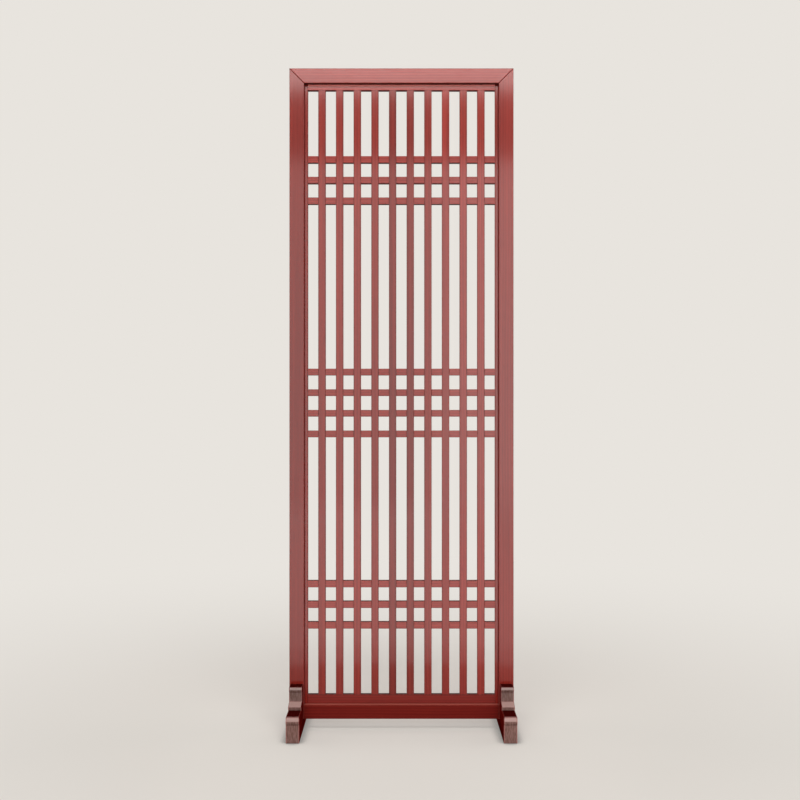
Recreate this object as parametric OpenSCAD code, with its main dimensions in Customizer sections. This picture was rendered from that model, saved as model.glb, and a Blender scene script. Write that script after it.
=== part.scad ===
// Free-standing wooden lattice screen on two profiled feet.
// The front faces -Y, +X is to the right and the origin is on the floor below the middle.

/* [Screen] */
// Width over both stiles
screen_w = 610; // [480:5:900]
// Height from the floor to the top of the frame
screen_h = 1800; // [1600:10:2200]

/* [Outer frame] */
// Width of a stile, seen from the front
stile_w = 40; // [34:1:60]
// Depth of the frame timber, front to back
frame_d = 50; // [46:1:70]
// Height of the top rail
top_rail_h = 40; // [34:1:60]
// Height of the bottom rail
bottom_rail_h = 38; // [32:1:80]
// Space under the bottom rail, and the wood of a foot under its stile
floor_gap = 30; // [24:1:50]
// Chamfer along the edges of the frame timber
arris = 1.2; // [0.6:0.2:2.4]
// Depth of the V cut on the front and back of a mitre
mitre_vee = 1.2; // [0.4:0.2:1.6]
// Depth of the groove that holds the lattice
groove_depth = 7; // [5:0.5:10]

/* [Joints of the outer frame] */
// Length of a bottom rail tenon
tenon_l = 25; // [15:1:30]
// Thickness of a bottom rail tenon
tenon_t = 14; // [8:1:18]
// Shoulder above and below a bottom rail tenon
tenon_shoulder = 5; // [3:0.5:8]
// Diameter of a mitre dowel
dowel_d = 8; // [5:0.5:8]
// Length of a mitre dowel
dowel_l = 36; // [20:1:40]
// Chamfer on the ends of a mitre dowel
dowel_chamfer = 0.8; // [0.4:0.2:1.2]

/* [Lattice frame] */
// Thickness of the lattice, front to back
lattice_t = 16; // [12:0.5:18]
// Width of a lattice stile that shows inside the outer frame
side_show = 9; // [6:0.5:30]
// Height of the lattice top rail that shows
top_show = 15; // [10:0.5:40]
// Height of the lattice bottom rail that shows
bottom_show = 24; // [12:0.5:60]

/* [Slats] */
// Number of upright slats
upright_count = 10; // [6:1:12]
// Width of an upright slat
upright_w = 20; // [14:0.5:26]
// Height of a cross slat
cross_h = 18.5; // [12:0.5:24]
// Number of cross slats in the lower group
lower_count = 3; // [2:1:4]
// Number of cross slats in the middle group
middle_count = 4; // [2:1:5]
// Number of cross slats in the upper group
upper_count = 3; // [2:1:4]
// Spacing of the cross slats in a group, centre to centre
group_pitch = 56.5; // [45:0.5:70]
// Opening under the lower group and over the upper group
outer_opening_h = 180; // [120:1:220]
// Opening between the lower and the middle group
lower_opening_h = 392; // [250:1:450]
// Chamfer along the edges of the slats and the lattice frame
slat_arris = 0.8; // [0.4:0.1:1.4]
// Length of a stub tenon
stub_l = 8; // [5:0.5:9]
// Thickness of a stub tenon
stub_t = 6; // [4:0.5:8]
// Shoulder on each side of a stub tenon
stub_shoulder = 3; // [1.5:0.5:4]

/* [Feet] */
// Length of a foot, front to back
foot_l = 300; // [260:5:420]
// Thickness of a foot
foot_t = 35; // [28:1:50]
// Height of a foot where it clasps the stile
foot_h = 125; // [115:1:180]
// Height of the toe
toe_h = 69; // [50:1:74]
// Radius of the bead along the toe's upper edge
toe_r = 12; // [7:1:24]
// Reach of the upper step in front of the frame
step_l = 38; // [30:1:46]
// Radius of the bead along the upper step's edge
step_r = 7; // [6:0.5:9]
// How far a bead stands out over the face under it
bead_out = 5; // [2:0.5:5.5]
// Reach of the shoulder in front of the frame
shoulder_l = 60; // [50:1:80]
// Height of the shoulder's edge
shoulder_h = 78; // [75:1:81]
// Height of the shoulder where it meets the upper step
shoulder_top = 86; // [82:1:95]
// How far the riser under the shoulder's edge leans back
riser_lean = 2.5; // [0.5:0.5:4]
// Chamfer along the edges of a foot
foot_arris = 1.5; // [0.9:0.1:1.8]
// Chamfer along the edges of the shoulder
shoulder_arris = 1.1; // [0.4:0.1:1.3]

/* [Foot bolts] */
// Diameter of a foot bolt
bolt_d = 6; // [5:1:6]
// Length of a foot bolt under its head
bolt_l = 35; // [30:1:40]
// Diameter of a bolt head
bolt_head_d = 10; // [9:0.5:11]
// Height of a bolt head
bolt_head_h = 6; // [4:0.5:6]
// Width across the flats of the bolt's hex socket
socket_w = 5; // [4:0.5:5]
// Depth of the bolt's hex socket
socket_depth = 3; // [2:0.5:3]
// Diameter of a washer
washer_d = 13; // [12.5:0.5:14.5]
// Thickness of a washer
washer_t = 1.6; // [1:0.2:2]
// Diameter of the well in the sole
well_d = 16; // [15.5:0.5:20]
// Depth of the well in the sole
well_depth = 12; // [9:0.5:14]
// Diameter of a threaded insert
insert_d = 10; // [8:0.5:11]
// Length of a threaded insert
insert_l = 18; // [12:1:24]

/* [Clearances] */
// Glue line between the two faces of a mitre
glue_line = 0.1; // [0.04:0.02:0.2]
// Clearance round the lattice, at its faces and its edges
lattice_fit = 0.25; // [0.1:0.05:0.5]
// Clearance beside tenons and lapped slats
joint_fit = 0.1; // [0.05:0.05:0.3]
// Clearance past the end of a tenon, dowel or insert
end_fit = 0.5; // [0.2:0.1:0.8]
// Clearance in front of and behind a stile in its foot
notch_fit = 0.2; // [0.1:0.05:0.4]
// Clearance round a dowel or an insert
hole_fit = 0.1; // [0.05:0.05:0.2]
// Clearance round a bolt in the foot and in its washer
bolt_fit = 0.3; // [0.2:0.05:0.5]
// Clearance round a bolt in its insert
thread_fit = 0.05; // [0.02:0.01:0.1]

/* [Hidden] */
lacquer = "#8f3d38";
lacquer_dark = "#6d2522";
bare_wood = "#c9a877";
steel = "#b9bcc0";
brass = "#c9a24a";
// Overrun of a cut past the face that it opens
over = 1;
// Segments of a full circle
round_fn = 96;
// Sides of a hex socket
hex_sides = 6;

half_w = screen_w / 2;
stile_x = half_w - stile_w / 2;
inner_w = screen_w - 2 * stile_w;
inner_top = screen_h - top_rail_h;
bottom_rail_top = floor_gap + bottom_rail_h;
groove_floor = bottom_rail_top - groove_depth;
groove_roof = inner_top + groove_depth;
groove_w = lattice_t + 2 * lattice_fit;
tenon_h = bottom_rail_h - groove_depth - 2 * tenon_shoulder;
tenon_z = floor_gap + tenon_shoulder;

mitre_l = norm([stile_w, top_rail_h]);
mitre_angle = atan2(top_rail_h, stile_w);
dowel_y = (groove_w + frame_d) / 4;

lattice_stile_w = side_show + groove_depth - lattice_fit;
lattice_top_h = top_show + groove_depth - lattice_fit;
lattice_bottom_h = bottom_show + groove_depth;
lattice_h = groove_roof - lattice_fit - groove_floor;
open_w = inner_w - 2 * side_show;
open_low = bottom_rail_top + bottom_show;
open_high = inner_top - top_show;
open_h = open_high - open_low;

upright_pitch = (open_w + upright_w) / (upright_count + 1);
upright_x = [for (i = [1:upright_count]) i * upright_pitch - (open_w + upright_w) / 2];
function group(low, count) = [for (i = [0:count - 1]) low + cross_h / 2 + i * group_pitch];
function group_h(count) = cross_h + (count - 1) * group_pitch;
lower_low = open_low + outer_opening_h;
middle_low = lower_low + group_h(lower_count) + lower_opening_h;
upper_low = open_high - outer_opening_h - group_h(upper_count);
cross_z = concat(group(lower_low, lower_count), group(middle_low, middle_count), group(upper_low, upper_count));
cross_count = len(cross_z);

step_y = frame_d / 2 + step_l;
shoulder_y = frame_d / 2 + shoulder_l;
shoulder_slope = atan2(shoulder_top - shoulder_h, shoulder_y - step_y + bead_out);
riser_tilt = atan2(riser_lean, shoulder_h - toe_h);
bolt_y = (frame_d + tenon_t) / 4;
bolt_head_z = well_depth - washer_t - bolt_head_h;

function slat_name(kind, i) = str(kind, "_slat_", i < 10 ? "0" : "", i);

// Section of a length of timber, w across and d deep, with its four edges chamfered
module section(w, d, chamfer) {
    x = w / 2;
    y = d / 2;
    polygon([
        [chamfer - x, -y], [x - chamfer, -y], [x, chamfer - y], [x, y - chamfer],
        [x - chamfer, y], [chamfer - x, y], [-x, y - chamfer], [-x, chamfer - y]
    ]);
}

// Turns what stands along +Z so that it lies along +X, centred on the screen
module lying(length) {
    translate([-length / 2, 0, 0]) rotate([0, 90, 0]) children();
}

// Places what is drawn at the mitre's middle: X along the mitre and Z square to it, up into the top rail
module at_mitre() {
    translate([-stile_x, 0, screen_h - top_rail_h / 2]) rotate([0, mitre_angle, 0]) children();
}

// V cuts along the mitre on the front and back of the frame
module mitre_vees() {
    side = mitre_vee * sqrt(2);
    for (y = [-frame_d / 2, frame_d / 2])
        translate([0, y, 0]) rotate([45, 0, 0]) cube([2 * mitre_l, side, side], center = true);
}

// Everything on the top rail's side of the mitre face
module past_mitre() {
    translate([-mitre_l, -frame_d, -glue_line / 2]) cube([2 * mitre_l, 2 * frame_d, mitre_l]);
}

// Holes for the mitre dowels
module dowel_holes() {
    length = dowel_l + 2 * end_fit;
    for (y = [-dowel_y, dowel_y])
        translate([0, y, -length / 2]) cylinder(h = length, d = dowel_d + 2 * hole_fit, $fn = round_fn);
}

// A stile on the left, standing in its foot
module stile() {
    difference() {
        translate([-stile_x, 0, floor_gap])
            linear_extrude(screen_h - floor_gap) section(stile_w, frame_d, arris);
        at_mitre() past_mitre();
        at_mitre() mitre_vees();
        at_mitre() dowel_holes();
        translate([-inner_w / 2 - groove_depth, -groove_w / 2, groove_floor])
            cube([groove_depth + over, groove_w, screen_h - groove_floor]);
        translate([-inner_w / 2, 0, tenon_z]) rotate([0, -90, 0]) tenon_room();
        for (y = [-bolt_y, bolt_y])
            translate([-stile_x, y, floor_gap - over])
                cylinder(h = insert_l + end_fit + over, d = insert_d + 2 * hole_fit, $fn = round_fn);
    }
}

// Mortise for a bottom rail tenon, along +Z from the face that it enters, with +X up
module tenon_room() {
    translate([-joint_fit, -tenon_t / 2 - joint_fit, -over])
        cube([tenon_h + 2 * joint_fit, tenon_t + 2 * joint_fit, tenon_l + end_fit + over]);
}

// Clears the top rail's left end down to the mitre face, with its V cuts and dowel holes
module left_mitre() {
    at_mitre() {
        mirror([0, 0, 1]) past_mitre();
        mitre_vees();
        dowel_holes();
    }
}

// The two dowels across a mitre
module mitre_dowels() {
    at_mitre()
        for (y = [-dowel_y, dowel_y])
            translate([0, y, -dowel_l / 2]) rotate_extrude($fn = round_fn)
                polygon([
                    [0, 0], [dowel_d / 2 - dowel_chamfer, 0], [dowel_d / 2, dowel_chamfer],
                    [dowel_d / 2, dowel_l - dowel_chamfer], [dowel_d / 2 - dowel_chamfer, dowel_l], [0, dowel_l]
                ]);
}

// A slat along +Z with a stub tenon at each end and half-laps on one side: -1 is the front, 1 the back
module slat(w, length, laps, lap_w, side) {
    difference() {
        union() {
            linear_extrude(length) section(w, lattice_t, slat_arris);
            translate([stub_shoulder - w / 2, -stub_t / 2, -stub_l])
                cube([w - 2 * stub_shoulder, stub_t, length + 2 * stub_l]);
        }
        for (z = laps)
            translate([-w, side < 0 ? -lattice_t : 0, z - lap_w / 2 - joint_fit])
                cube([2 * w, lattice_t, lap_w + 2 * joint_fit]);
    }
}

// Mortise for the stub tenon of a slat w wide, along +Z from the face that it enters
module stub_room(w) {
    x = w / 2 - stub_shoulder + joint_fit;
    y = stub_t / 2 + joint_fit;
    translate([-x, -y, -over]) cube([2 * x, 2 * y, stub_l + end_fit + over]);
}

// A lattice stile on the left, with mortises for the rails and the cross slats
module lattice_stile() {
    difference() {
        translate([-open_w / 2 - lattice_stile_w / 2, 0, groove_floor])
            linear_extrude(lattice_h) section(lattice_stile_w, lattice_t, slat_arris);
        translate([-open_w / 2, 0, 0]) {
            for (z = cross_z) translate([0, 0, z]) rotate([0, -90, 0]) stub_room(cross_h);
            translate([0, 0, open_low - lattice_bottom_h / 2]) rotate([0, -90, 0]) stub_room(lattice_bottom_h);
            translate([0, 0, open_high + lattice_top_h / 2]) rotate([0, -90, 0]) stub_room(lattice_top_h);
        }
    }
}

// Section across a foot: flat below at low, with both upper edges eased at high
module foot_section(low, high, ease) {
    x = foot_t / 2;
    polygon([[-x, low], [x, low], [x, high - ease], [x - ease, high], [ease - x, high], [-x, high - ease]]);
}

// A beam of foot section from y = -back to y = front, with its eased edges on top
module beam(back, front, low, high, ease = foot_arris) {
    translate([0, front, 0]) rotate([90, 0, 0]) linear_extrude(back + front) foot_section(low, high, ease);
}

// A post of foot section from the floor up to h, with its eased edges on the face at y = front
module post(front, h, ease = foot_arris) {
    linear_extrude(h) foot_section(-over, front, ease);
}

// A disc across the foot with an eased rim
module eased_disc(r) {
    x = foot_t / 2;
    rotate([0, 90, 0]) rotate_extrude($fn = round_fn) polygon([
        [0, -x], [r - foot_arris, -x], [r, foot_arris - x],
        [r, x - foot_arris], [r - foot_arris, x], [0, x]
    ]);
}

// A block from the middle of the frame to y = front, with a bead of radius r along its far upper edge
module beaded_block(front, h, r) {
    beam(over, front - r, 0, h);
    post(front - bead_out, h - r);
    translate([0, front - r, h - r]) eased_disc(r);
}

// The sloped shoulder between the toe and the upper step, over a riser that leans back
module shoulder() {
    translate([0, shoulder_y, shoulder_h]) intersection() {
        rotate([-riser_tilt, 0, 0]) translate([0, -shoulder_y, -shoulder_h])
            post(shoulder_y, foot_h, shoulder_arris);
        rotate([-shoulder_slope, 0, 0]) beam(2 * shoulder_y, shoulder_y, -2 * foot_h, 0, shoulder_arris);
    }
}

// One half of a foot, from the middle of the frame to the toe
module foot_half() {
    beaded_block(foot_l / 2, toe_h, toe_r);
    shoulder();
    beaded_block(step_y, foot_h, step_r);
}

// A foot on the left: a profiled slab with a notch for the stile and wells for the bolts
module foot() {
    difference() {
        translate([-stile_x, 0, 0]) {
            foot_half();
            mirror([0, 1, 0]) foot_half();
        }
        translate([-stile_x - foot_t, -frame_d / 2 - notch_fit, floor_gap])
            cube([2 * foot_t, frame_d + 2 * notch_fit, foot_h]);
        for (y = [-bolt_y, bolt_y]) translate([-stile_x, y, -over]) {
            cylinder(h = floor_gap + 2 * over, d = bolt_d + 2 * bolt_fit, $fn = round_fn);
            cylinder(h = well_depth + over, d = well_d, $fn = round_fn);
        }
    }
}

// The two threaded inserts in a stile's foot end
module stile_inserts() {
    for (y = [-bolt_y, bolt_y]) translate([-stile_x, y, floor_gap]) difference() {
        cylinder(h = insert_l, d = insert_d, $fn = round_fn);
        translate([0, 0, -over]) cylinder(h = insert_l + 2 * over, d = bolt_d + 2 * thread_fit, $fn = round_fn);
    }
}

// The two bolts that hold a foot, with their heads in the wells
module foot_bolts() {
    for (y = [-bolt_y, bolt_y]) translate([-stile_x, y, bolt_head_z]) difference() {
        union() {
            cylinder(h = bolt_head_h, d = bolt_head_d, $fn = round_fn);
            cylinder(h = bolt_head_h + bolt_l, d = bolt_d, $fn = round_fn);
        }
        translate([0, 0, -over])
            cylinder(h = socket_depth + over, d = socket_w / cos(180 / hex_sides), $fn = hex_sides);
    }
}

// The two washers between the bolt heads and the foot
module foot_washers() {
    for (y = [-bolt_y, bolt_y]) translate([-stile_x, y, well_depth - washer_t]) difference() {
        cylinder(h = washer_t, d = washer_d, $fn = round_fn);
        translate([0, 0, -over]) cylinder(h = washer_t + 2 * over, d = bolt_d + 2 * bolt_fit, $fn = round_fn);
    }
}

module left_stile() {
    color(lacquer) stile();
}

module right_stile() {
    color(lacquer) mirror([1, 0, 0]) stile();
}

// The top rail, mitred to both stiles and grooved below
module top_rail() {
    color(lacquer) difference() {
        translate([0, 0, screen_h - top_rail_h / 2])
            lying(screen_w) linear_extrude(screen_w) section(top_rail_h, frame_d, arris);
        left_mitre();
        mirror([1, 0, 0]) left_mitre();
        translate([-half_w, -groove_w / 2, inner_top - over]) cube([screen_w, groove_w, groove_depth + over]);
    }
}

// The bottom rail, tenoned between the stiles and grooved above
module bottom_rail() {
    tenoned_w = inner_w + 2 * tenon_l;
    color(lacquer) difference() {
        union() {
            translate([0, 0, floor_gap + bottom_rail_h / 2])
                lying(inner_w) linear_extrude(inner_w) section(bottom_rail_h, frame_d, arris);
            translate([-tenoned_w / 2, -tenon_t / 2, tenon_z]) cube([tenoned_w, tenon_t, tenon_h]);
        }
        translate([-inner_w / 2 - over, -groove_w / 2, groove_floor])
            cube([inner_w + 2 * over, groove_w, groove_depth + over]);
    }
}

module left_foot() {
    color(lacquer_dark) foot();
}

module right_foot() {
    color(lacquer_dark) mirror([1, 0, 0]) foot();
}

module lattice_left_stile() {
    color(lacquer) lattice_stile();
}

module lattice_right_stile() {
    color(lacquer) mirror([1, 0, 0]) lattice_stile();
}

// The lattice top rail, tenoned between the lattice stiles
module lattice_top_rail() {
    color(lacquer) difference() {
        translate([0, 0, open_high + lattice_top_h / 2]) lying(open_w) slat(lattice_top_h, open_w, [], 0, 1);
        for (x = upright_x) translate([x, 0, open_high]) stub_room(upright_w);
    }
}

// The lattice bottom rail, tenoned between the lattice stiles
module lattice_bottom_rail() {
    color(lacquer) difference() {
        translate([0, 0, open_low - lattice_bottom_h / 2]) lying(open_w) slat(lattice_bottom_h, open_w, [], 0, 1);
        for (x = upright_x) translate([x, 0, open_low]) mirror([0, 0, 1]) stub_room(upright_w);
    }
}

module left_mitre_dowels() {
    color(bare_wood) mitre_dowels();
}

module right_mitre_dowels() {
    color(bare_wood) mirror([1, 0, 0]) mitre_dowels();
}

module left_stile_inserts() {
    color(brass) stile_inserts();
}

module right_stile_inserts() {
    color(brass) mirror([1, 0, 0]) stile_inserts();
}

module left_foot_bolts() {
    color(steel) foot_bolts();
}

module right_foot_bolts() {
    color(steel) mirror([1, 0, 0]) foot_bolts();
}

module left_foot_washers() {
    color(steel) foot_washers();
}

module right_foot_washers() {
    color(steel) mirror([1, 0, 0]) foot_washers();
}

// Upright slat i, counted from the left, notched behind at every cross slat
module upright_slat(i) {
    color(lacquer) translate([upright_x[i - 1], 0, open_low])
        slat(upright_w, open_h, [for (z = cross_z) z - open_low], cross_h, 1);
}

// Cross slat i, counted from below, notched in front at every upright slat
module cross_slat(i) {
    color(lacquer) translate([0, 0, cross_z[i - 1]])
        lying(open_w) slat(cross_h, open_w, [for (x = upright_x) x + open_w / 2], upright_w, -1);
}

left_stile();
right_stile();
top_rail();
bottom_rail();
left_foot();
right_foot();
lattice_left_stile();
lattice_right_stile();
lattice_top_rail();
lattice_bottom_rail();
left_mitre_dowels();
right_mitre_dowels();
left_stile_inserts();
right_stile_inserts();
left_foot_bolts();
right_foot_bolts();
left_foot_washers();
right_foot_washers();
for (i = [1:upright_count])
    upright_slat(i);
for (i = [1:cross_count])
    cross_slat(i);
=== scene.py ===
import math

import bpy
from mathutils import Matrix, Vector


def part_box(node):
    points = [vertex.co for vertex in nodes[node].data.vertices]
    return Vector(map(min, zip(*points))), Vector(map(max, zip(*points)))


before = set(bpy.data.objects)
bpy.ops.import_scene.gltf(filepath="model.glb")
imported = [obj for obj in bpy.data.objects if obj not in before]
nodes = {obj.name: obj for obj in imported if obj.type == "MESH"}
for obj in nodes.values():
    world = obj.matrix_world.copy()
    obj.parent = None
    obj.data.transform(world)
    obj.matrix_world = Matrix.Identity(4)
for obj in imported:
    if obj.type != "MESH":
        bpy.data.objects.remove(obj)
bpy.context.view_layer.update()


def linear(red, green, blue):
    """A colour from its sRGB values, 0 to 255, as the linear RGBA that a socket takes."""
    values = []
    for value in (red, green, blue):
        share = value / 255.0
        values.append(share / 12.92 if share <= 0.04045 else ((share + 0.055) / 1.055) ** 2.4)
    return (*values, 1.0)


# Places and sizes are in metres, with X to the right, Y to the back and Z up, and turns are in radians.
# Camera: it looks level to the back, and the shift lowers the horizon to the photograph's. Its lens and its
# sensor are in millimetres.
CAMERA_PLACE = (-0.004, -3.025, 0.884)
CAMERA_TURN = (math.radians(90.0), 0.0, 0.0)
CAMERA_LENS = 49.635
CAMERA_SENSOR = 36.0
CAMERA_SHIFT_Y = 0.00625

# Soft lights in front: name, place, the point that each faces, width, height and radiance
FRONT_LIGHTS = (
    ("front_softbox", (-0.69, -3.35, 1.295), (-0.69, 0.0, 1.295), 1.82, 1.99, 1.6),
    ("right_front_softbox", (0.91, -3.35, 1.295), (0.91, 0.0, 1.295), 1.38, 1.99, 2.4),
)

# Soft lights above, beside and behind, written the same way
ROOM_LIGHTS = (
    ("high_softbox", (0.0, -2.05, 2.75), (0.0, 0.0, 1.2), 2.8, 0.9, 3.65),
    ("near_high_softbox", (0.0, -1.3, 2.46), (0.0, 0.0, 1.6), 2.6, 0.68, 1.4),
    ("overhead_softbox", (0.0, 1.35, 3.0), (0.0, 0.0, 0.6), 2.2, 1.2, 2.5),
    ("left_softbox", (-3.2, 0.6, 1.45), (0.0, 0.0, 1.45), 1.6, 2.8, 2.1),
    ("right_softbox", (3.2, 0.6, 1.45), (0.0, 0.0, 1.45), 1.6, 2.8, 2.1),
    ("back_softbox", (0.0, 3.4, 1.45), (0.0, 0.0, 1.45), 3.0, 2.8, 1.7),
)

# Soft lights close in front of the feet: name, lower edge, upper edge and radiance. The last two are
# weaker, so that their reflection fades into that of the front lights.
STRIP_Y = -0.75
STRIP_WIDTH = 1.1
STRIP_SPREAD = math.radians(70.0)
STRIPS = (
    ("foot_softbox", 0.0045, 0.0595, 0.2),
    ("low_softbox", 0.06, 0.515, 0.28),
    ("low_fade_softbox", 0.515, 0.54, 0.19),
    ("low_edge_softbox", 0.54, 0.565, 0.09),
)

# World: the colour and strength of the light that it gives, and its colour where it is seen
WORLD_LIGHT = (1.0, 1.0, 1.0, 1.0)
WORLD_STRENGTH = 0.15
BACKGROUND = linear(232, 228, 222)

# Floor: its colour where it is seen, the colour of the light that it throws up, and its painted contact
# shadow right beside the feet. It has a share of the background's colour everywhere, and takes on the rest
# over a distance.
FLOOR = linear(226, 220, 212)
FLOOR_BOUNCE = linear(150, 142, 134)
FLOOR_CONTACT_SHADOW = linear(60, 48, 42)
FLOOR_ROUGHNESS = 0.5
FLOOR_RADIUS = 14.0
FLOOR_SIDES = 96
LEAST_FADE = 0.35
FADE_FROM = 0.6
FADE_TO = 3.3

# Axes, as the numbers of a vector's parts
X = 0
Y = 1
Z = 2

# Numbers of the sockets that a Mix node has for colours
MIX_SHARE = 0
MIX_FIRST = 6
MIX_SECOND = 7
MIX_RESULT = 2

# Directions that wood grain runs in, as the turn that brings it onto +Z
ALONG_Z = (0.0, 0.0, 0.0)
ALONG_X = (0.0, math.radians(90.0), 0.0)
ALONG_Y = (math.radians(90.0), 0.0, 0.0)

# Noise: scale, detail, roughness and, where it is drawn out, how fast it changes along X, Y and Z. In wood
# it is drawn out along the grain.
STREAKS = (110.0, 2.0, 0.5, (1.0, 1.0, 0.01))
FIBRES = (300.0, 4.0, 0.6, (1.0, 1.0, 0.012))
PORES = (900.0, 1.0, 0.5, (1.0, 1.0, 0.03))
CLOUDS = (4.5, 3.0, 0.55)
WORN_PATCHES = (60.0, 3.0, 0.6)
END_STREAKS = (420.0, 3.0, 0.65, (1.0, 0.1, 0.16))
DOWEL_FIBRES = (700.0, 3.0, 0.6, (1.0, 1.0, 0.1))
TURNED_MARKS = (1800.0, 2.0, 0.5, (0.2, 0.2, 1.0))
DULL_PATCHES = (180.0, 3.0, 0.6)

# Growth rings, how they lean off the grain, and how fast they change along X, Y and Z
RINGS = {"Scale": 48.0, "Distortion": 5.0, "Detail": 3.0, "Detail Scale": 0.35, "Detail Roughness": 0.55}
RING_LEAN = (0.015, 0.01, 0.0)
RING_STRETCH = (1.0, 1.0, 0.08)

# Shares of the rings, streaks and fibres in the wood's figure
RING_SHARE = 0.3
STREAK_SHARE = 0.6
FIBRE_SHARE = 0.5

# Values that a mask of noise begins and ends at
FIGURE_RANGE = (0.38, 1.0)
PORE_RANGE = (0.42, 0.28)
CLOUD_RANGE = (0.35, 0.7)
WORN_RANGE = (0.42, 0.68)
END_STREAK_RANGE = (0.34, 0.66)
DULL_PATCH_RANGE = (0.35, 0.65)
DOWEL_RANGE = (0.35, 0.65)
DOWEL_ROUGH_RANGE = (0.2, 0.8)

# Values that a mask of the way that a face looks begins and ends at: 0 is square to an axis, 1 along it and
# -1 against it
LEVEL_COLOUR_LEAN = (0.9, 0.99)
LEVEL_DULL_LEAN = (0.85, 0.99)
SIDE_LEAN = (0.7, 0.95)
INWARD_LEAN = (-0.7, -0.95)
END_LEAN = (0.3, 0.7)
END_ARRIS_LEAN = (0.3, 0.6)
END_HIGHLIGHT_LEAN = (0.0, 0.15)

# Arrises: their radius, the radius that their shading is eased to, and how alike the rounded and the true
# normal are where the mask begins and ends
ARRIS_RADIUS = 0.0024
EASED_RADIUS = 0.0008
ARRIS_LIKENESS = (0.995, 0.90)

# Corners: how far the painted shade in the wood's corners and the floor's painted contact shadow reach out
# of them, how much of the surroundings is free where each begins and ends, and the samples that find it
CORNER_SHADE_REACH = 0.004
CORNER_SHADE_FREE = (0.85, 0.25)
CONTACT_REACH = 0.03
CONTACT_FREE = (0.97, 0.5)
CORNER_SAMPLES = 8

# How strongly pores, clouds, the painted light and shade of level faces, arris wear and the painted
# highlight on a foot's arrises take their colour, and how much wear an arris shows at least where no
# lacquer has pooled
PORE_COVER = 0.22
CLOUD_COVER = 0.3
LEVEL_COVER = 0.85
RUBBED_COVER = 0.4
END_ARRIS_COVER = 0.8
LEAST_WORN = 0.35

# Roughness: how much fibres and the metal's patches vary it, and how much dull lacquer adds to it
FIBRE_ROUGHNESS = 0.1
PATCH_ROUGHNESS = 0.2
DULL_ROUGHNESS = 0.85

# Relief: how much fibres stand up and pores go down, and the bump of each material
FIBRE_RELIEF = 0.5
PORE_RELIEF = 0.6
LACQUER_BUMP = {"Strength": 0.18, "Distance": 0.0003}
DOWEL_BUMP = {"Strength": 0.3, "Distance": 0.0003}
METAL_BUMP = {"Strength": 0.15, "Distance": 0.0002}

# Lacquer: the colours of light and dark wood, of arris wear, of what lies deep, such as pores, pooled
# lacquer and the painted shade in corners, and of level faces, painted with the light and shade that fall
# on them. Then its roughness, clear coat and shine, how strongly it pools on arrises, how strongly its
# corners take painted shade, and how dull the sides are that look out.
IOR = 1.5
COAT_ROUGHNESS = 0.09
SHEEN = (1.0, 0.8, 0.77, 1.0)
RED = {
    "light": linear(158, 48, 38),
    "dark": linear(132, 36, 29),
    "edge": linear(182, 88, 76),
    "deep": linear(44, 5, 5),
    "level": linear(44, 5, 5),
    "roughness": 0.11,
    "coat": 0.4,
    "shine": 0.3,
    "pooled": 0.3,
    "corner_shade": 0.6,
    "outer_dull": 0.6,
}
UPRIGHT_RED = {**RED, "pooled": 0.55, "outer_dull": 1.0}
LATTICE_HEAD_RED = {**RED, "corner_shade": 0.0}
LATTICE_FOOT_RED = {**RED, "roughness": 0.4, "coat": 0.0, "shine": 0.25}
# Bottom rail: a deeper red as painted shade toward the floor, a painted light on its level ledge, and
# duller lacquer.
LOW_RAIL_RED = {
    **RED,
    "light": linear(134, 34, 25),
    "dark": linear(112, 22, 17),
    "edge": linear(190, 96, 80),
    "level": linear(196, 104, 90),
    "roughness": 0.45,
    "coat": 0.0,
    "shine": 0.1,
    "pooled": 0.0,
}
FOOT_RED = {
    **RED,
    "light": linear(124, 26, 20),
    "dark": linear(93, 14, 11),
    "edge": linear(176, 122, 116),
    "deep": linear(34, 4, 4),
    "level": linear(47, 6, 5),
    "roughness": 0.3,
    "coat": 0.2,
    "shine": 0.0,
    "pooled": 0.0,
    "outer_dull": 1.0,
}

# Ends of the feet, painted with the reflection that they show: light and dark streaks of painted
# reflection, a painted highlight on what faces up, a painted highlight on the upright arrises, and painted
# shade on the upper step, which begins between two heights. The sloped shoulder takes the painted
# reflection and highlight too, and is
# known by its lean: past the first two values and short of the second two.
END_REFLECTION_COLOURS = {
    "light": linear(149, 113, 105),
    "dark": linear(119, 85, 77),
    "rubbed_and_highlight": linear(180, 145, 138),
    "arris": linear(192, 118, 112),
    "upper_tone": (0.74, 0.82, 0.84, 1.0),
}
UPPER_STEP_RISE = (0.0865, 0.0885)
SHOULDER_LEAN_PAST = (0.945, 0.955)
SHOULDER_LEAN_SHORT = (0.975, 0.965)

# Upper edge of the lattice's top rail, with painted light where the frame's rail shades it: its colour, and
# how far under the frame that begins and is full
EDGE_PAINTED_LIGHT = linear(240, 140, 130)
PALE_EDGE_FROM = 0.007
PALE_EDGE_TO = 0.001

# Fastenings: light colour, dark colour and roughness, which in beech varies between two values
BEECH = (linear(214, 182, 136), linear(176, 138, 92), (0.55, 0.75))
BRASS = (linear(214, 178, 104), linear(176, 138, 72), 0.32)
ZINC = (linear(206, 208, 212), linear(160, 164, 170), 0.3)

# Shades of the pieces, 1 for the plain colour, kept in each object's alpha as a share of the greatest. A
# shade paints the light and shade that fall on a piece, and the spread adds tone that differs at random.
GREATEST_SHADE = 2.0
SHADE_SPREAD = 0.06
# The right foot is painted lighter than the left, as painted light.
FOOT_SHADES = {"left_foot": 1.03, "right_foot": 1.12}

# Upright slats: their painted shade, how much darker the painted shade makes the middle and how far that
# reaches, and how much lighter painted light makes them for each metre to the right
SLAT_SHADE = 1.1
MIDDLE_DARKER = 0.3
MIDDLE_REACH = 0.076
RIGHT_LIGHTER = 0.23

# Factors that scatter a running number over 0 to 1
GOLDEN_SHARE = 0.618034
GRAIN_SCATTER = (1.37, 2.71, 5.13)
SHADE_SCATTER = 7.31


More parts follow.
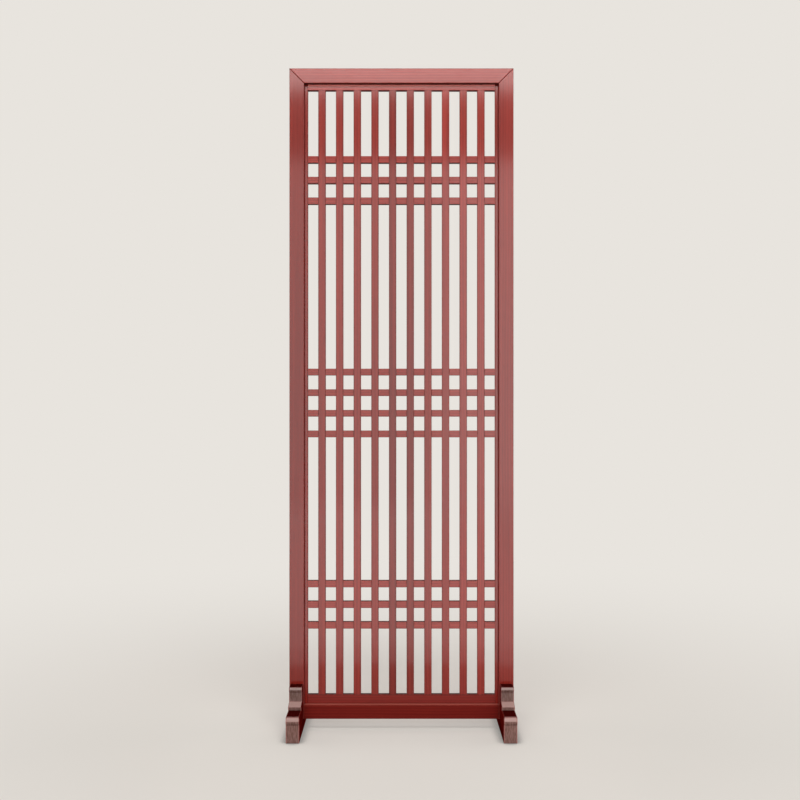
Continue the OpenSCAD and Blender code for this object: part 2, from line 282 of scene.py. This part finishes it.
class Tree:
    """The nodes of one material or world."""

    def __init__(self, owner):
        owner.use_nodes = True
        self.tree = owner.node_tree
        self.tree.nodes.clear()

    def feed(self, socket, value):
        """Sets an input, or links it to another node's output."""
        if isinstance(value, bpy.types.NodeSocket):
            self.tree.links.new(value, socket)
        else:
            socket.default_value = value

    def add(self, kind, inputs=None, output=0, **settings):
        """Adds a node, sets or links its inputs and returns one of its outputs."""
        made = self.tree.nodes.new("ShaderNode" + kind)
        for name, value in settings.items():
            setattr(made, name, value)
        for name, value in (inputs or {}).items():
            self.feed(made.inputs[name], value)
        return made.outputs[output] if made.outputs else made

    def math(self, operation, first, second=0.0, clamp=False):
        return self.add("Math", {0: first, 1: second}, operation=operation, use_clamp=clamp)

    def vector(self, operation, first, second=(0.0, 0.0, 0.0), output=0):
        return self.add("VectorMath", {0: first, 1: second}, output=output, operation=operation)

    def mapping(self, vector, rotation=(0.0, 0.0, 0.0), scale=(1.0, 1.0, 1.0)):
        return self.add("Mapping", {"Vector": vector, "Rotation": rotation, "Scale": scale})

    def noise(self, vector, scale, detail, roughness, stretch=None):
        """Noise, drawn out where a stretch is given."""
        if stretch:
            vector = self.mapping(vector, scale=stretch)
        inputs = {"Vector": vector, "Scale": scale, "Detail": detail, "Roughness": roughness}
        return self.add("TexNoise", inputs)

    def ramp(self, value, low, high, to_low=0.0, to_high=1.0):
        """Value from low to high, brought smoothly to to_low to to_high."""
        inputs = {"Value": value, "From Min": low, "From Max": high, "To Min": to_low, "To Max": to_high}
        return self.add("MapRange", inputs, interpolation_type="SMOOTHSTEP")

    def mix(self, share, first, second, blend="MIX"):
        """Mix of two colours."""
        made = self.tree.nodes.new("ShaderNodeMix")
        made.data_type = "RGBA"
        made.blend_type = blend
        self.feed(made.inputs[MIX_SHARE], share)
        self.feed(made.inputs[MIX_FIRST], first)
        self.feed(made.inputs[MIX_SECOND], second)
        return made.outputs[MIX_RESULT]

    def place(self):
        """Where the surface is. The CAD nodes sit at the origin, so this is in the frame's own metres."""
        return self.add("TexCoord", output="Object")

    def part(self, vector, axis):
        """The part of a vector along an axis."""
        return self.add("SeparateXYZ", {0: vector}, output=axis)


def lean(tree, axis):
    """How far the surface faces along an axis, -1 to 1."""
    return tree.part(tree.add("NewGeometry", output="Normal"), axis)


def facing(tree, axis, low, high):
    """1 where the surface faces along an axis, either way, and 0 where it is square to it."""
    return tree.ramp(tree.math("ABSOLUTE", lean(tree, axis)), low, high)


def facing_in(tree):
    """1 on faces to the left or right that look to the middle of the screen."""
    outward = tree.math("MULTIPLY", lean(tree, X), tree.math("SIGN", tree.part(tree.place(), X)))
    return tree.ramp(outward, *INWARD_LEAN)


def on_arris(tree):
    """1 on arrises and 0 on flats, from how far a rounded normal leans off the true one."""
    rounded = tree.add("Bevel", {"Radius": ARRIS_RADIUS})
    flat = tree.add("NewGeometry", output="True Normal")
    likeness = tree.vector("DOT_PRODUCT", rounded, flat, output="Value")
    return tree.ramp(likeness, *ARRIS_LIKENESS)


def in_corner(tree, reach, free_range):
    """1 in corners and grooves, 0 in the open, by the share of the surroundings that is free in reach."""
    free = tree.add("AmbientOcclusion", {"Distance": reach}, output="AO", samples=CORNER_SAMPLES)
    return tree.ramp(free, *free_range)


def grain_space(tree, turn):
    """Places turned so that the grain runs along Z, and moved by an amount of each piece's own."""
    turned = tree.mapping(tree.place(), rotation=turn)
    return tree.vector("ADD", turned, tree.add("ObjectInfo", output="Color"))


def wood_figure(tree, grain):
    """Growth rings with fine fibres along the grain, 0 for dark wood and 1 for light, and the fibres."""
    leaning = tree.mapping(grain, rotation=RING_LEAN, scale=RING_STRETCH)
    rings = tree.add(
        "TexWave", {"Vector": leaning, **RINGS},
        output=1, wave_type="RINGS", rings_direction="Z", wave_profile="SIN",
    )
    streaks = tree.noise(grain, *STREAKS)
    fibres = tree.noise(grain, *FIBRES)
    figure = tree.math("MULTIPLY", rings, RING_SHARE)
    figure = tree.math("ADD", figure, tree.math("MULTIPLY", streaks, STREAK_SHARE))
    figure = tree.math("ADD", figure, tree.math("MULTIPLY", fibres, FIBRE_SHARE))
    return tree.ramp(figure, *FIGURE_RANGE), fibres


def lacquered(tree, grain, figure, pores, look):
    """The wood's figure under lacquer, with deep pores, dark clouds, and painted light and shade on level
    faces.
    """
    wood = tree.mix(figure, look["dark"], look["light"])
    wood = tree.mix(tree.math("MULTIPLY", pores, PORE_COVER), wood, look["deep"])
    clouds = tree.ramp(tree.noise(grain, *CLOUDS), *CLOUD_RANGE, 0.0, CLOUD_COVER)
    wood = tree.mix(clouds, wood, look["dark"])
    # Level faces take painted shade, dark on tops and undersides, and the bottom rail's ledge a painted
    # light.
    level = tree.math("MULTIPLY", facing(tree, Z, *LEVEL_COLOUR_LEAN), LEVEL_COVER)
    return tree.mix(level, wood, look["level"])


def painted_end_reflection(tree, wood):
    """Wood of a foot, with a streaked grey painted reflection on its front and back faces and a painted
    highlight on its sloped shoulder.
    """
    upward = lean(tree, Z)
    streaks = tree.ramp(tree.noise(tree.place(), *END_STREAKS), *END_STREAK_RANGE)
    grey = tree.mix(streaks, END_REFLECTION_COLOURS["dark"], END_REFLECTION_COLOURS["light"])
    grey = tree.mix(tree.ramp(upward, *END_HIGHLIGHT_LEAN), grey, END_REFLECTION_COLOURS["rubbed_and_highlight"])
    arris = tree.math("MULTIPLY", facing(tree, X, *END_ARRIS_LEAN), END_ARRIS_COVER)
    grey = tree.mix(arris, grey, END_REFLECTION_COLOURS["arris"])
    on_upper_step = tree.ramp(tree.part(tree.place(), Z), *UPPER_STEP_RISE)
    grey = tree.mix(on_upper_step, grey, END_REFLECTION_COLOURS["upper_tone"], "MULTIPLY")
    past = tree.ramp(upward, *SHOULDER_LEAN_PAST)
    short = tree.ramp(upward, *SHOULDER_LEAN_SHORT)
    shoulder = tree.math("MULTIPLY", past, short)
    return tree.mix(tree.math("MAXIMUM", facing(tree, Y, *END_LEAN), shoulder), wood, grey)


def painted_edge_light(tree, wood):
    """Wood of the lattice's top rail, with painted light along the upper edge that the frame shades."""
    frame_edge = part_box("top_rail")[0].z
    height = tree.part(tree.place(), Z)
    rise = tree.ramp(height, frame_edge - PALE_EDGE_FROM, frame_edge - PALE_EDGE_TO)
    return tree.mix(rise, wood, EDGE_PAINTED_LIGHT)


def worn_and_corner_shaded(tree, grain, wood, look):
    """Wood dark along arrises where lacquer pooled, light where wear shows, and darker in corners with
    painted shade.
    """
    arris = on_arris(tree)
    wood = tree.mix(tree.math("MULTIPLY", arris, look["pooled"]), wood, look["deep"])
    least = 0.0 if look["pooled"] else LEAST_WORN
    patches = tree.ramp(tree.noise(grain, *WORN_PATCHES), *WORN_RANGE, least, 1.0)
    rubbed_and_highlight = tree.math("MULTIPLY", arris, patches)
    wood = tree.mix(tree.math("MULTIPLY", rubbed_and_highlight, RUBBED_COVER), wood, look["edge"])
    # Corners take painted shade, darker where the surroundings hide more of the light.
    corner_shade = tree.math("MULTIPLY", in_corner(tree, CORNER_SHADE_REACH, CORNER_SHADE_FREE), look["corner_shade"])
    return tree.mix(corner_shade, wood, look["deep"])


def shaded_and_toned(tree, colour):
    """A colour made lighter or darker by each piece's shade, which paints light and shade on it, and by a
    little random tone.
    """
    shade = tree.math("MULTIPLY", tree.add("ObjectInfo", output="Alpha"), GREATEST_SHADE)
    grey = tree.add("CombineColor", {0: shade, 1: shade, 2: shade})
    return tree.mix(1.0, colour, grey, "MULTIPLY")


def dullness(tree, outer_dull):
    """How dull the lacquer is: 1 on level faces and sides that look in, and less on sides that look out."""
    outer = tree.math("MULTIPLY", facing(tree, X, *SIDE_LEAN), outer_dull)
    sides = tree.math("MAXIMUM", outer, facing_in(tree))
    return tree.math("MAXIMUM", facing(tree, Z, *LEVEL_DULL_LEAN), sides)


def around(tree, noise, amount, middle):
    """A value that noise varies by an amount, around its middle."""
    return tree.math("ADD", tree.math("MULTIPLY", noise, amount), middle - amount / 2.0)


def red_lacquer(name, turn, look, cover=None):
    """Red lacquer over open-grained wood, and a cover that paints light on a piece in places, such as the
    lattice's lit top edge and the feet's reflection.
    """
    material = bpy.data.materials.new(name)
    tree = Tree(material)
    grain = grain_space(tree, turn)
    figure, fibres = wood_figure(tree, grain)
    pores = tree.ramp(tree.noise(grain, *PORES), *PORE_RANGE)
    wood = lacquered(tree, grain, figure, pores, look)
    if cover:
        wood = cover(tree, wood)
    wood = shaded_and_toned(tree, worn_and_corner_shaded(tree, grain, wood, look))

    dull = dullness(tree, look["outer_dull"])
    rough = around(tree, fibres, FIBRE_ROUGHNESS, look["roughness"])
    rough = tree.math("ADD", rough, tree.math("MULTIPLY", dull, DULL_ROUGHNESS), clamp=True)
    raised = tree.math("MULTIPLY", fibres, FIBRE_RELIEF)
    relief = tree.math("SUBTRACT", raised, tree.math("MULTIPLY", pores, PORE_RELIEF))
    eased = tree.add("Bevel", {"Radius": EASED_RADIUS})
    bump = tree.add("Bump", {**LACQUER_BUMP, "Height": relief, "Normal": eased})
    shader = tree.add(
        "BsdfPrincipled",
        {
            "Base Color": wood,
            "Roughness": rough,
            "Normal": bump,
            "IOR": IOR,
            "Specular IOR Level": look["shine"],
            "Specular Tint": SHEEN,
            "Coat Weight": tree.math("MULTIPLY", tree.math("SUBTRACT", 1.0, dull), look["coat"]),
            "Coat Roughness": COAT_ROUGHNESS,
            "Coat IOR": IOR,
        },
    )
    tree.add("OutputMaterial", {"Surface": shader})
    return material


def bare_wood(name, light, dark, roughness):
    """Unfinished dowel wood with fine fibres along its length."""
    material = bpy.data.materials.new(name)
    tree = Tree(material)
    fibres = tree.noise(grain_space(tree, ALONG_Z), *DOWEL_FIBRES)
    wood = tree.mix(tree.ramp(fibres, *DOWEL_RANGE), dark, light)
    rough = tree.ramp(fibres, *DOWEL_ROUGH_RANGE, *roughness)
    bump = tree.add("Bump", {**DOWEL_BUMP, "Height": fibres})
    shader = tree.add("BsdfPrincipled", {"Base Color": wood, "Roughness": rough, "Normal": bump})
    tree.add("OutputMaterial", {"Surface": shader})
    return material


def metal(name, light, dark, roughness):
    """Plated metal with turned marks and duller patches."""
    material = bpy.data.materials.new(name)
    tree = Tree(material)
    marks = tree.noise(tree.place(), *TURNED_MARKS)
    patches = tree.noise(tree.place(), *DULL_PATCHES)
    colour = tree.mix(tree.ramp(patches, *DULL_PATCH_RANGE), dark, light)
    rough = around(tree, patches, PATCH_ROUGHNESS, roughness)
    bump = tree.add("Bump", {**METAL_BUMP, "Height": marks})
    inputs = {"Base Color": colour, "Metallic": 1.0, "Roughness": rough, "Normal": bump}
    tree.add("OutputMaterial", {"Surface": tree.add("BsdfPrincipled", inputs)})
    return material


def dress(names, material, seed, shade=1.0):
    """Gives CAD nodes a material, each with its own stretch of grain and its own shade, which paints light
    and shade on it.

    The shade is a number, or a function that gives one for a node's name.
    """
    for count, name in enumerate(names):
        piece = nodes[name]
        for slot in piece.material_slots:
            slot.material = material
        turn = seed + count * GOLDEN_SHARE
        bright = shade(name) if callable(shade) else shade
        bright += SHADE_SPREAD * ((turn * SHADE_SCATTER) % 1.0 - 0.5)
        piece.color = (*((turn * factor) % 1.0 for factor in GRAIN_SCATTER), bright / GREATEST_SHADE)


def slat_shade(name):
    """The painted light and shade of an upright slat, by its place across the screen: darker in the middle,
    lighter to the right.
    """
    low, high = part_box(name)
    across = (low.x + high.x) / 2.0
    middle = math.exp(-((across / MIDDLE_REACH) ** 2))
    return SLAT_SHADE - MIDDLE_DARKER * middle + RIGHT_LIGHTER * across


def numbered(kind):
    """The names of all slats of a kind, in order."""
    return sorted(name for name in nodes if name.startswith(kind + "_slat_"))


def dress_frame(lying_red):
    """The outer frame. Its right stile and top rail are lighter than the rest, as in the photograph."""
    stile_red = red_lacquer("stile_lacquer", ALONG_Z, RED)
    low_red = red_lacquer("low_rail_lacquer", ALONG_X, LOW_RAIL_RED)
    # The shades paint light and shade: the right stile and top rail painted lighter, the left stile and
    # bottom rail darker.
    dress(["left_stile"], stile_red, seed=0.21, shade=0.94)
    dress(["right_stile"], stile_red, seed=0.83, shade=1.05)
    dress(["top_rail"], lying_red, seed=0.35, shade=1.15)
    dress(["bottom_rail"], low_red, seed=0.78, shade=0.9)


def dress_lattice(lying_red):
    """The lattice: its own frame and its slats."""
    upright_red = red_lacquer("upright_lacquer", ALONG_Z, UPRIGHT_RED)
    head_red = red_lacquer("lattice_head_lacquer", ALONG_X, LATTICE_HEAD_RED, cover=painted_edge_light)
    dull_red = red_lacquer("lattice_foot_lacquer", ALONG_X, LATTICE_FOOT_RED)
    dress(["lattice_left_stile", "lattice_right_stile"], upright_red, seed=0.47)
    # The shades paint light and shade: the top rail and cross slats painted lighter, the bottom rail
    # darker, the upright slats darker in the middle.
    dress(["lattice_top_rail"], head_red, seed=0.64, shade=1.3)
    dress(["lattice_bottom_rail"], dull_red, seed=0.53, shade=0.8)
    dress(numbered("upright"), upright_red, seed=0.83, shade=slat_shade)
    dress(numbered("cross"), lying_red, seed=0.12, shade=1.17)


def dress_feet():
    """The feet, lacquered along their sides, with painted reflection and highlights at their ends."""
    foot_red = red_lacquer("foot_lacquer", ALONG_Y, FOOT_RED, cover=painted_end_reflection)
    dress(["left_foot", "right_foot"], foot_red, seed=0.52, shade=FOOT_SHADES.get)


def dress_fastenings():
    """What holds the frame and the feet together, and shows only when they are taken apart."""
    wood = bare_wood("dowel_wood", *BEECH)
    brass = metal("brass", *BRASS)
    steel = metal("zinc_plated_steel", *ZINC)
    dress(["left_mitre_dowels", "right_mitre_dowels"], wood, seed=0.4)
    dress(["left_stile_inserts", "right_stile_inserts"], brass, seed=0.3)
    bolts = ["left_foot_bolts", "right_foot_bolts"]
    washers = ["left_foot_washers", "right_foot_washers"]
    dress(bolts + washers, steel, seed=0.7)


def softbox(name, place, aim, width, height, radiance):
    """A rectangular soft light of a given brightness, not shown to the camera."""
    data = bpy.data.lights.new(name, "AREA")
    data.shape = "RECTANGLE"
    data.size = width
    data.size_y = height
    data.energy = radiance * math.pi * width * height
    light = bpy.data.objects.new(name, data)
    light.location = place
    light.rotation_euler = (Vector(aim) - Vector(place)).to_track_quat("-Z", "Y").to_euler()
    light.visible_camera = False
    bpy.context.scene.collection.objects.link(light)
    return light


def strip_softbox(name, bottom, top, radiance):
    """A soft light close in front of the feet that shines mostly straight ahead."""
    middle = (bottom + top) / 2.0
    light = softbox(name, (0.0, STRIP_Y, middle), (0.0, 0.0, middle), STRIP_WIDTH, top - bottom, radiance)
    light.data.spread = STRIP_SPREAD


def make_lights():
    """The studio's soft lights."""
    for light in FRONT_LIGHTS:
        softbox(*light)
    for strip in STRIPS:
        strip_softbox(*strip)
    for light in ROOM_LIGHTS:
        softbox(*light)


def make_camera():
    """The camera, at the photograph's angle."""
    data = bpy.data.cameras.new("camera")
    data.lens = CAMERA_LENS
    data.sensor_width = CAMERA_SENSOR
    data.shift_y = CAMERA_SHIFT_Y
    camera = bpy.data.objects.new("camera", data)
    camera.location = CAMERA_PLACE
    camera.rotation_euler = CAMERA_TURN
    bpy.context.scene.collection.objects.link(camera)
    bpy.context.scene.camera = camera


def seen_directly(tree):
    """1 for what the camera, a mirror or glass shows, 0 for the light that it gives."""
    paths = tree.add("LightPath").node
    seen = tree.math("ADD", paths.outputs["Is Camera Ray"], paths.outputs["Is Glossy Ray"], clamp=True)
    return tree.math("ADD", seen, paths.outputs["Is Transmission Ray"], clamp=True)


def make_world():
    """Even studio light, with a pale background where it is seen."""
    world = bpy.data.worlds.new("studio")
    bpy.context.scene.world = world
    tree = Tree(world)
    given = tree.add("Background", {"Color": WORLD_LIGHT, "Strength": WORLD_STRENGTH})
    shown = tree.add("Background", {"Color": BACKGROUND, "Strength": 1.0})
    both = tree.add("MixShader", {0: seen_directly(tree), 1: given, 2: shown})
    tree.add("OutputWorld", {"Surface": both})


def floor_finish():
    """Matt and pale, with a painted contact shadow close to the feet, and one with the background further
    off.
    """
    material = bpy.data.materials.new("floor")
    tree = Tree(material)
    distance = tree.vector("LENGTH", tree.place(), output="Value")
    reach = tree.math("LOGARITHM", distance, math.e)
    far = tree.ramp(reach, math.log(FADE_FROM), math.log(FADE_TO), LEAST_FADE, 1.0)
    seen = seen_directly(tree)
    # Painted contact shadow next to the feet, where shade falls.
    contact = in_corner(tree, CONTACT_REACH, CONTACT_FREE)
    colour = tree.mix(contact, tree.mix(seen, FLOOR_BOUNCE, FLOOR), FLOOR_CONTACT_SHADOW)
    matt = tree.add("BsdfDiffuse", {"Color": colour, "Roughness": FLOOR_ROUGHNESS})
    shown = tree.add("Emission", {"Color": BACKGROUND, "Strength": 1.0})
    fade = tree.math("MULTIPLY", far, seen)
    tree.add("OutputMaterial", {"Surface": tree.add("MixShader", {0: fade, 1: matt, 2: shown})})
    return material


def make_floor():
    """The floor, a wide disc under the object."""
    bpy.ops.mesh.primitive_circle_add(vertices=FLOOR_SIDES, radius=FLOOR_RADIUS, fill_type="NGON")
    floor = bpy.context.object
    floor.name = "floor"
    floor.data.materials.append(floor_finish())


make_camera()
make_world()
make_floor()
make_lights()
lying_lacquer = red_lacquer("lying_lacquer", ALONG_X, RED)
dress_frame(lying_lacquer)
dress_lattice(lying_lacquer)
dress_feet()
dress_fastenings()
bpy.context.scene.view_settings.view_transform = "Standard"
